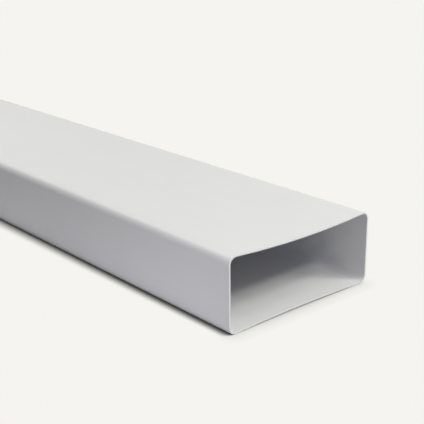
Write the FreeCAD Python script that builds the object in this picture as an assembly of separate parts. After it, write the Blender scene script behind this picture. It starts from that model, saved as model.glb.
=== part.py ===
import FreeCAD, Part
import math
import os

# Flat channel duct: one stock length of rigid white PVC, extruded as a thin flat tube and sawn square.
# Its side walls are flat, its long edges are rounded, and both wide walls sink in towards the airway.
# Millimetres. X runs across the width, Y along the extrusion and Z up from the floor it lies on.
# The origin is the middle of the footprint, at floor height.

# Driving dimensions
duct_length = 1000.0
duct_width = 220.0
duct_height = 90.0
wall = 2.0
corner_radius = 10.0
top_bow = 4.0
bottom_bow = 2.5

# The corner arcs turn about two upright lines of centres, one near each side wall.
corner_x = duct_width / 2 - corner_radius
upper_corner_z = duct_height - corner_radius
lower_corner_z = corner_radius
square_turn = math.pi / 2


def lean(bow):
    """Angle past upright at which a corner arc runs over, without a kink, into a wall that sinks by bow."""
    centre_distance = (corner_x**2 + bow**2) / (2 * bow)
    return math.asin(corner_x / centre_distance)


def section_outline(inset):
    """Closed outline of the section, at an even depth of inset below the outer skin."""
    arc_radius = corner_radius - inset
    half_width = duct_width / 2 - inset

    def at(x, z):
        return FreeCAD.Vector(x, -duct_length / 2, z)

    def on_corner(side, up, turn):
        """Point on a corner arc: side is -1 or 1 in X, up is -1 or 1 in Z, turn starts at the side wall."""
        centre_z = upper_corner_z if up > 0 else lower_corner_z
        x = side * (corner_x + arc_radius * math.cos(turn))
        return at(x, centre_z + up * arc_radius * math.sin(turn))

    def corner(side, up, bow):
        full_turn = square_turn + lean(bow)
        return Part.Arc(
            on_corner(side, up, 0), on_corner(side, up, full_turn / 2), on_corner(side, up, full_turn)
        )

    def wide_wall(up, bow, middle_z):
        full_turn = square_turn + lean(bow)
        return Part.Arc(on_corner(-1, up, full_turn), at(0, middle_z), on_corner(1, up, full_turn))

    def side_wall(side):
        x = side * half_width
        return Part.LineSegment(at(x, lower_corner_z), at(x, upper_corner_z))

    curves = [
        side_wall(-1),
        corner(-1, 1, top_bow),
        wide_wall(1, top_bow, duct_height - top_bow - inset),
        corner(1, 1, top_bow),
        side_wall(1),
        corner(1, -1, bottom_bow),
        wide_wall(-1, bottom_bow, bottom_bow + inset),
        corner(-1, -1, bottom_bow),
    ]
    return Part.Wire([curve.toShape() for curve in curves])


# The die forms the ring of wall between the outer skin and the airway, and the puller draws it along Y.
ring = Part.makeFace([section_outline(0), section_outline(wall)], "Part::FaceMakerBullseye")
flat_duct = ring.extrude(FreeCAD.Vector(0, duct_length, 0))

os.makedirs("parts", exist_ok=True)
flat_duct.exportStep("parts/flat_duct.step")
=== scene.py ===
import math

import bpy
import numpy as np
from mathutils import Matrix, Vector


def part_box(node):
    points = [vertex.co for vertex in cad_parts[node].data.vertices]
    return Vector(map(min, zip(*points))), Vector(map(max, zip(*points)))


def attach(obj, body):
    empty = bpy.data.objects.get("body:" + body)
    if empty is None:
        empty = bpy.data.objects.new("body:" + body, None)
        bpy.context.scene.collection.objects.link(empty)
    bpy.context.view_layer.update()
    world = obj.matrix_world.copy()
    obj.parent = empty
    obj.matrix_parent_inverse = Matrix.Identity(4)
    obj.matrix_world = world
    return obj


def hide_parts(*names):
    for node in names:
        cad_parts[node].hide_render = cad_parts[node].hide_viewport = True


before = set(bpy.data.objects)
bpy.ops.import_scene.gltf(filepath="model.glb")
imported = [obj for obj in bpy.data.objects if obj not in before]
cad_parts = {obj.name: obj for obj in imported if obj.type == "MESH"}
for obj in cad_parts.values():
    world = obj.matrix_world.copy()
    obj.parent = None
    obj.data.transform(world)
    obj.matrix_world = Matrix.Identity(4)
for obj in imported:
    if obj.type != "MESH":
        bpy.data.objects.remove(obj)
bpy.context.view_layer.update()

# The duct is one stock length of white rigid PVC, extruded through a die as a flat tube,
# drawn through a cooling sizer and sawn square at both ends. Its wide walls sank in as they cooled.
millimetre = 0.001
duct_low, duct_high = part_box("flat_duct")
half_length = duct_high.y
half_width = 110 * millimetre
duct_height = 90 * millimetre
wall = 2 * millimetre
corner_radius = 10 * millimetre
top_bow = 4 * millimetre
bottom_bow = 2.5 * millimetre
corner_x = half_width - corner_radius


def shares(steps):
    """Even shares of a stretch from 0 up to, but without, 1: the next stretch begins there."""
    return np.arange(steps) / steps


def side_stretch(side, steps=8):
    """Points and outward directions of a side wall, in the order that goes round the section."""
    rise = (shares(steps) if side < 0 else 1 - shares(steps)) * (duct_height - 2 * corner_radius)
    flat = np.ones(steps)
    points = np.column_stack([side * half_width * flat, corner_radius + rise])
    return points, np.column_stack([side * flat, 0 * flat])


def centre_distance(bow):
    """How far the centre of a wide wall that sinks by bow lies from the centres of its two corner arcs."""
    return (corner_x**2 + bow**2) / (2 * bow)


def corner_turn(bow):
    """How far a corner arc turns from the side wall until it runs into the bowed wall without a kink."""
    return math.pi / 2 + math.asin(corner_x / centre_distance(bow))


def corner_stretch(side, up, bow, steps=16):
    """Points and outward directions of a rounded corner: side and up are -1 or 1."""
    leaves_side = side == -up
    turn = (shares(steps) if leaves_side else 1 - shares(steps)) * corner_turn(bow)
    outward = np.column_stack([side * np.cos(turn), up * np.sin(turn)])
    centre = np.array([side * corner_x, duct_height - corner_radius if up > 0 else corner_radius])
    return centre + corner_radius * outward, outward


def wide_stretch(up, bow, steps=32):
    """Points and outward directions of the top or the bottom wall, an arc that sinks in by bow."""
    lean = corner_turn(bow) - math.pi / 2
    radius = centre_distance(bow) - corner_radius
    angle = up * lean * (2 * shares(steps) - 1)
    outward = np.column_stack([-np.sin(angle), up * np.cos(angle)])
    middle = np.array([0, duct_height - bow if up > 0 else bow])
    centre = middle + np.array([0, up * radius])
    return centre - radius * outward, outward


stretches = [
    side_stretch(-1),
    corner_stretch(-1, 1, top_bow),
    wide_stretch(1, top_bow),
    corner_stretch(1, 1, top_bow),
    side_stretch(1),
    corner_stretch(1, -1, bottom_bow),
    wide_stretch(-1, bottom_bow),
    corner_stretch(-1, -1, bottom_bow),
]
outline = np.concatenate([points for points, outward in stretches])
outwards = np.concatenate([outward for points, outward in stretches])

# Each point of the outline is carried once round the wall: out along the skin, over the sawn back end,
# back along the airway and over the sawn front end. A depth is how far below the skin it runs.
eased_edge = 0.25 * millimetre
rings_along = 72
rings_on_edge = 4
run_end = half_length - 2 * eased_edge
skin_run = np.linspace(-run_end, run_end, rings_along)
quarter = np.linspace(0, math.pi / 2, rings_on_edge)
edge_back = half_length - eased_edge + eased_edge * np.sin(quarter)
edge_depth = eased_edge - eased_edge * np.cos(quarter)
along = np.concatenate([skin_run, edge_back, edge_back[::-1], skin_run[::-1], -edge_back, -edge_back[::-1]])
depth = np.concatenate([
    0 * skin_run, edge_depth, wall - edge_depth[::-1],
    wall + 0 * skin_run, wall - edge_depth, edge_depth[::-1],
])
sawn = np.abs(along) > half_length - eased_edge / 2

# The walls cooled unevenly, so they sink a little further in two long waves along the duct.
# A wave's slants turn its crests, in radians for each metre across X and up Z.
wall_waviness = 0.15 * millimetre
steady_share = 0.5
waves = [
    {"share": 0.3, "length": 310 * millimetre, "slant_x": 9, "slant_z": 4},
    {"share": 0.2, "length": 170 * millimetre, "slant_x": -14, "slant_z": 25},
]


def waviness(x, y, z):
    """How far the cooled walls sink below their true shape, fading to nothing at the corners."""
    side_middle = duct_height / 2
    across_wide = np.clip(1 - (x / corner_x) ** 2, 0, 1)
    across_side = np.clip(1 - ((z - side_middle) / (side_middle - corner_radius)) ** 2, 0, 1)
    sunk = steady_share
    for wave in waves:
        phase = 2 * math.pi * y / wave["length"] + wave["slant_x"] * x + wave["slant_z"] * z
        sunk = sunk + wave["share"] * np.sin(phase)
    return wall_waviness * (across_wide + across_side) * sunk


place_x, place_z = outline[:, None, 0], outline[:, None, 1]
inward = depth + waviness(place_x, along, place_z)
grid = np.stack([
    place_x - inward * outwards[:, None, 0],
    np.broadcast_to(along, inward.shape),
    place_z - inward * outwards[:, None, 1],
], axis=2)

# Each face joins a point to the next one round the section and the next one along the path, both closed.
numbers = np.arange(inward.size).reshape(inward.shape)
next_numbers = np.roll(numbers, -1, axis=0)
faces = np.stack([
    numbers, next_numbers, np.roll(next_numbers, -1, axis=1), np.roll(numbers, -1, axis=1),
], axis=2)
sawn_faces = np.broadcast_to(sawn & np.roll(sawn, -1), inward.shape)


def put_in_scene(name, data):
    """A new object of the scene, at the origin."""
    thing = bpy.data.objects.new(name, data)
    bpy.context.scene.collection.objects.link(thing)
    return thing


duct_mesh = bpy.data.meshes.new("duct")
duct_mesh.from_pydata(grid.reshape(-1, 3).tolist(), [], faces.reshape(-1, 4).tolist())
duct_mesh.shade_smooth()
duct_mesh.polygons.foreach_set("material_index", sawn_faces.ravel().astype(int).tolist())
duct = put_in_scene("duct", duct_mesh)


def linear(hex_colour):
    """An sRGB hex colour as linear red, green, blue and an alpha of 1."""
    values = [int(hex_colour[i:i + 2], 16) / 255 for i in (0, 2, 4)]
    return [v / 12.92 if v <= 0.04045 else ((v + 0.055) / 1.055) ** 2.4 for v in values] + [1.0]


def emptied_tree(owner):
    """The node tree of a material or of the world, with nothing in it yet."""
    owner.use_nodes = True
    owner.node_tree.nodes.clear()
    return owner.node_tree


def add(tree, kind, links=(), inputs=None, **settings):
    """Adds a node with its settings, its inputs' values and its links (input, from node, from output)."""
    node = tree.nodes.new(kind)
    for name, value in settings.items():
        setattr(node, name, value)
    for name, value in (inputs or {}).items():
        node.inputs[name].default_value = value
    for name, source, output in links:
        tree.links.new(source.outputs[output], node.inputs[name])
    return node


# Rigid PVC straight from the die: opaque, a neutral white a little below paper white, and satin,
# with faint drawn lines along the length, closer on the side walls, and a very shallow orange peel.
pvc_ior = 1.53
skin_specular = 0.35
satin_roughness = (0.46, 0.54)
darker_white = "E0E0E0"
lighter_white = "E4E4E4"
mottle_width = 60 * millimetre
line_spacing = 5 * millimetre
side_line_spacing = 2 * millimetre
line_length = 700 * millimetre
line_height = 0.2 * millimetre
line_strength = 0.2
line_darkening = 0.02
peel_width = 3.5 * millimetre
peel_height = 0.1 * millimetre
peel_strength = 0.03
# Most of a noise pattern lies in this span.
usual_noise = {"From Min": 0.3, "From Max": 0.7}
skin = bpy.data.materials.new("extruded_rigid_pvc")
tree = emptied_tree(skin)
place = add(tree, "ShaderNodeTexCoord")
drawn = add(
    tree, "ShaderNodeMapping", [("Vector", place, "Object")],
    {"Scale": (1 / line_spacing, 1 / line_length, 1 / side_line_spacing)},
)
lines = add(tree, "ShaderNodeTexNoise", [("Vector", drawn, "Vector")], {"Scale": 1.0, "Detail": 3.0})
peel = add(
    tree, "ShaderNodeTexNoise", [("Vector", place, "Object")], {"Scale": 1 / peel_width, "Detail": 2.0},
)
mottle = add(
    tree, "ShaderNodeTexNoise", [("Vector", place, "Object")], {"Scale": 1 / mottle_width, "Detail": 4.0},
)
mottled = add(
    tree, "ShaderNodeMix", [("Factor", mottle, "Fac")],
    {"A": linear(darker_white), "B": linear(lighter_white)}, data_type="RGBA",
)
streak = add(
    tree, "ShaderNodeMapRange", [("Value", lines, "Fac")],
    {**usual_noise, "To Min": 1 - line_darkening, "To Max": 1.0},
)
tone = add(
    tree, "ShaderNodeMix", [("A", mottled, "Result"), ("B", streak, "Result")], {"Factor": 1.0},
    data_type="RGBA", blend_type="MULTIPLY",
)
gloss = add(
    tree, "ShaderNodeMapRange", [("Value", lines, "Fac")],
    {**usual_noise, "To Min": satin_roughness[0], "To Max": satin_roughness[1]},
)
line_relief = add(
    tree, "ShaderNodeBump", [("Height", lines, "Fac")],
    {"Strength": line_strength, "Distance": line_height},
)
relief = add(
    tree, "ShaderNodeBump", [("Height", peel, "Fac"), ("Normal", line_relief, "Normal")],
    {"Strength": peel_strength, "Distance": peel_height},
)
shader = add(
    tree, "ShaderNodeBsdfPrincipled",
    [("Base Color", tone, "Result"), ("Roughness", gloss, "Result"), ("Normal", relief, "Normal")],
    {"IOR": pvc_ior, "Specular IOR Level": skin_specular},
)
add(tree, "ShaderNodeOutputMaterial", [("Surface", shader, "BSDF")])
duct_mesh.materials.append(skin)

# The sawn ends are the same PVC, cut square by a circular saw. The cut is paler and duller than the skin,
# and fine slanting blade marks cross it.
sawn_roughness = 0.62
cut_white = "ECECEC"
scraped_white = "FBFBFB"
mark_spacing = 1.2 * millimetre
mark_length = 24 * millimetre
mark_height = 0.1 * millimetre
mark_strength = 0.6
blade_lean = math.radians(25)
cut = bpy.data.materials.new("sawn_rigid_pvc")
tree = emptied_tree(cut)
place = add(tree, "ShaderNodeTexCoord")
across_marks = add(
    tree, "ShaderNodeMapping", [("Vector", place, "Object")],
    {"Rotation": (0, blade_lean, 0), "Scale": (1 / mark_spacing, 1, 1 / mark_length)},
)
marks = add(tree, "ShaderNodeTexNoise", [("Vector", across_marks, "Vector")], {"Scale": 1.0, "Detail": 2.0})
tone = add(
    tree, "ShaderNodeMix", [("Factor", marks, "Fac")], {"A": linear(cut_white), "B": linear(scraped_white)},
    data_type="RGBA",
)
relief = add(
    tree, "ShaderNodeBump", [("Height", marks, "Fac")],
    {"Strength": mark_strength, "Distance": mark_height},
)
shader = add(
    tree, "ShaderNodeBsdfPrincipled", [("Base Color", tone, "Result"), ("Normal", relief, "Normal")],
    {"Roughness": sawn_roughness, "IOR": pvc_ior},
)
add(tree, "ShaderNodeOutputMaterial", [("Surface", shader, "BSDF")])
duct_mesh.materials.append(cut)

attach(duct, "root")
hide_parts("flat_duct")

# The floor is a plain sweep of pale matt paper that the duct lies on. The eye sees it as one even colour
# with the duct's contact shadows painted into it, and what lights the duct from below is an ordinary matt
# grey.
floor_reach = 30
backdrop = linear("F5F4F0")
bounce_grey = linear("9C9B99")
floor_corners = [(x * floor_reach, y * floor_reach, 0) for x, y in ((-1, -1), (1, -1), (1, 1), (-1, 1))]
floor_mesh = bpy.data.meshes.new("floor")
floor_mesh.from_pydata(floor_corners, [], [(0, 1, 2, 3)])
floor = put_in_scene("floor", floor_mesh)
paper = bpy.data.materials.new("matt_paper")
tree = emptied_tree(paper)
matt = add(tree, "ShaderNodeBsdfDiffuse", inputs={"Color": bounce_grey})

# The deep shadow is painted: the floor's even colour darkens where the duct, within reach of a spot, closes
# off the directions that lean towards the keys. It lies along the left side, away from the keys, and widens
# towards the far end.
openness_rays = 24
front_reach = 12.5 * millimetre
back_end_reach = 42 * millimetre
towards_keys = {"X": 0.5, "Y": -0.5, "Z": 0.7}
darkest_openness = 0.2
clear_openness = 0.78
darkest_shade = 0.04
ground = add(tree, "ShaderNodeNewGeometry")
spot = add(tree, "ShaderNodeSeparateXYZ", [("Vector", ground, "Position")])
key_reach = add(
    tree, "ShaderNodeMapRange", [("Value", spot, "Y")],
    {"From Min": -half_length, "From Max": half_length, "To Min": front_reach, "To Max": back_end_reach},
)
key_lean = add(tree, "ShaderNodeCombineXYZ", inputs=towards_keys)
key_open = add(
    tree, "ShaderNodeAmbientOcclusion", [("Normal", key_lean, "Vector"), ("Distance", key_reach, "Result")],
    samples=openness_rays,
)
painted_key_shadow = add(
    tree, "ShaderNodeMapRange", [("Value", key_open, "AO")],
    {"From Min": darkest_openness, "From Max": clear_openness, "To Min": darkest_shade},
    interpolation_type="SMOOTHSTEP",
)

# A faint painted shadow, shaped as if the bank behind threw it to the front, darkens the floor only before
# the mouth, across its width.
back_reach = 20 * millimetre
back_fade = 14 * millimetre
back_depth = 0.3
back_softness = 0.5
towards_back = {"X": 0.25, "Y": 0.45, "Z": 0.85}
back_lean = add(tree, "ShaderNodeCombineXYZ", inputs=towards_back)
back_open = add(
    tree, "ShaderNodeAmbientOcclusion", [("Normal", back_lean, "Vector")], {"Distance": back_reach},
    samples=openness_rays,
)
closed = add(tree, "ShaderNodeMath", [(1, back_open, "AO")], {0: 1.0}, operation="SUBTRACT")
softened = add(tree, "ShaderNodeMath", [(0, closed, "Value")], {1: back_softness}, operation="POWER")
before_mouth = add(
    tree, "ShaderNodeMapRange", [("Value", spot, "Y")],
    {"From Min": -half_length, "From Max": back_fade - half_length, "To Min": 1.0, "To Max": 0.0},
)
off_middle = add(tree, "ShaderNodeMath", [(0, spot, "X")], operation="ABSOLUTE")
within_mouth = add(
    tree, "ShaderNodeMapRange", [("Value", off_middle, "Value")],
    {"From Min": corner_x, "From Max": half_width + back_fade, "To Min": 1.0, "To Max": 0.0},
)
at_mouth = add(
    tree, "ShaderNodeMath", [(0, before_mouth, "Result"), (1, within_mouth, "Result")],
    operation="MULTIPLY",
)
faint = add(tree, "ShaderNodeMath", [(0, softened, "Value"), (1, at_mouth, "Value")], operation="MULTIPLY")
painted_back_shadow = add(
    tree, "ShaderNodeMapRange", [("Value", faint, "Value")], {"To Min": 1.0, "To Max": 1 - back_depth},
)
shade = add(
    tree, "ShaderNodeMath", [(0, painted_key_shadow, "Result"), (1, painted_back_shadow, "Result")], operation="MULTIPLY",
)
# Both painted shadows darken the floor's even colour. The lamps cast no shadow on what the eye sees of the
# floor.
even = add(tree, "ShaderNodeEmission", [("Strength", shade, "Value")], {"Color": backdrop})


def seen_rays(tree):
    """1 for what is seen, straight, in a gloss or through glass, and 0 for what only gives off light."""
    path = add(tree, "ShaderNodeLightPath")
    straight_or_gloss = add(
        tree, "ShaderNodeMath", [(0, path, "Is Camera Ray"), (1, path, "Is Glossy Ray")], operation="ADD",
    )
    return add(
        tree, "ShaderNodeMath", [(0, straight_or_gloss, "Value"), (1, path, "Is Transmission Ray")],
        operation="ADD",
    )


seen = seen_rays(tree)
look = add(tree, "ShaderNodeMixShader", [(0, seen, "Value"), (1, matt, "BSDF"), (2, even, "Emission")])
add(tree, "ShaderNodeOutputMaterial", [("Surface", look, "Shader")])
floor_mesh.materials.append(paper)

# Soft studio light: a dim even surround, two key boxes high in front of the open end, a smaller box to
# their right, a bank overhead and one high behind the far end. A low box near the open end and a card that
# lies on the floor fill the left side, and a cool box low in front fills the inside.
plain_white = "FFFFFF"
warm_white = "FFFFFB"
pale_violet = "FAF9FF"
violet_white = "F3F0FF"
blue_white = "DADEFF"
surround_level = 0.05
world = bpy.data.worlds.new("studio")
bpy.context.scene.world = world
tree = emptied_tree(world)
surround = add(
    tree, "ShaderNodeBackground", inputs={"Color": linear(plain_white), "Strength": surround_level},
)
even = add(tree, "ShaderNodeBackground", inputs={"Color": backdrop})
seen = seen_rays(tree)
look = add(
    tree, "ShaderNodeMixShader", [(0, seen, "Value"), (1, surround, "Background"), (2, even, "Background")],
)
add(tree, "ShaderNodeOutputWorld", [("Surface", look, "Shader")])


def soft_box(name, aim, azimuth, elevation, size, level, colour, distance=2.0):
    """A studio light box of size width by height, in metres, that gives a surface facing it at aim about
    level watts a square metre. Azimuth 0 stands straight in front of the open end, 90 on its right."""
    turn = math.radians(azimuth)
    rise = math.radians(elevation)
    ray = Vector((math.cos(rise) * math.sin(turn), -math.cos(rise) * math.cos(turn), math.sin(rise)))
    lamp = bpy.data.lights.new(name, "AREA")
    lamp.shape = "RECTANGLE"
    lamp.size, lamp.size_y = size
    lamp.energy = level * math.pi * distance**2
    lamp.color = linear(colour)[:3]
    box = put_in_scene(name, lamp)
    box.location = Vector(aim) + distance * ray
    box.rotation_euler = (-ray).to_track_quat("-Z", "Y").to_euler()
    box.visible_camera = False


open_end = (0, 50 * millimetre - half_length, 50 * millimetre)
far_half = (0, half_length / 2, 50 * millimetre)
side_near_mouth = (-half_width, 20 * millimetre - half_length, duct_height / 2)
card_lift = 1 * millimetre
above_card = (-half_width - 45 * millimetre, -220 * millimetre, duct_height + 10 * millimetre)
soft_box("key_left", open_end, azimuth=2, elevation=46.5, size=(0.35, 0.2), level=0.72, colour=warm_white)
soft_box("key_right", open_end, azimuth=30, elevation=55, size=(0.7, 0.25), level=0.98, colour=warm_white)
soft_box("corner_box", open_end, azimuth=46, elevation=40, size=(0.27, 0.27), level=0.6, colour=warm_white)
soft_box(
    "overhead_bank", open_end, azimuth=15, elevation=73, size=(0.5, 0.5), level=0.46, colour=warm_white,
)
soft_box("front_fill", open_end, azimuth=-30, elevation=15, size=(0.3, 0.3), level=0.33, colour=blue_white)
soft_box(
    "back_bank", far_half, azimuth=-150, elevation=65, size=(0.6, 0.5), level=1.7, colour=plain_white,
    distance=1.4,
)
soft_box(
    "low_fill", side_near_mouth, azimuth=-81, elevation=5, size=(0.2, 0.15), level=0.92, colour=pale_violet,
    distance=0.45,
)
soft_box(
    "floor_card", above_card, azimuth=0, elevation=-90, size=(0.06, 0.55), level=1.15, colour=violet_white,
    distance=above_card[2] - card_lift,
)

# The camera stands in front of the open end, left of it and a little above, as in the photo.
# Its angles are in degrees, and the photo's focal length is in the photo's pixels.
photo_side = 424
focal_pixels = 916.2
from_mouth = Vector((-0.6920, -0.6465, 0.4381))
turned_right = 40.874
tilted_down = 18.958
rolled = -0.448
mouth = Vector((0, duct_low.y, 0))
camera_data = bpy.data.cameras.new("camera")
camera_data.sensor_width = 36
camera_data.lens = camera_data.sensor_width * focal_pixels / photo_side
camera = put_in_scene("camera", camera_data)
camera.matrix_world = (
    Matrix.Translation(mouth + from_mouth)
    @ Matrix.Rotation(math.radians(-turned_right), 4, "Z")
    @ Matrix.Rotation(math.radians(90 - tilted_down), 4, "X")
    @ Matrix.Rotation(math.radians(rolled), 4, "Z")
)
bpy.context.scene.camera = camera
bpy.context.scene.view_settings.view_transform = "Standard"
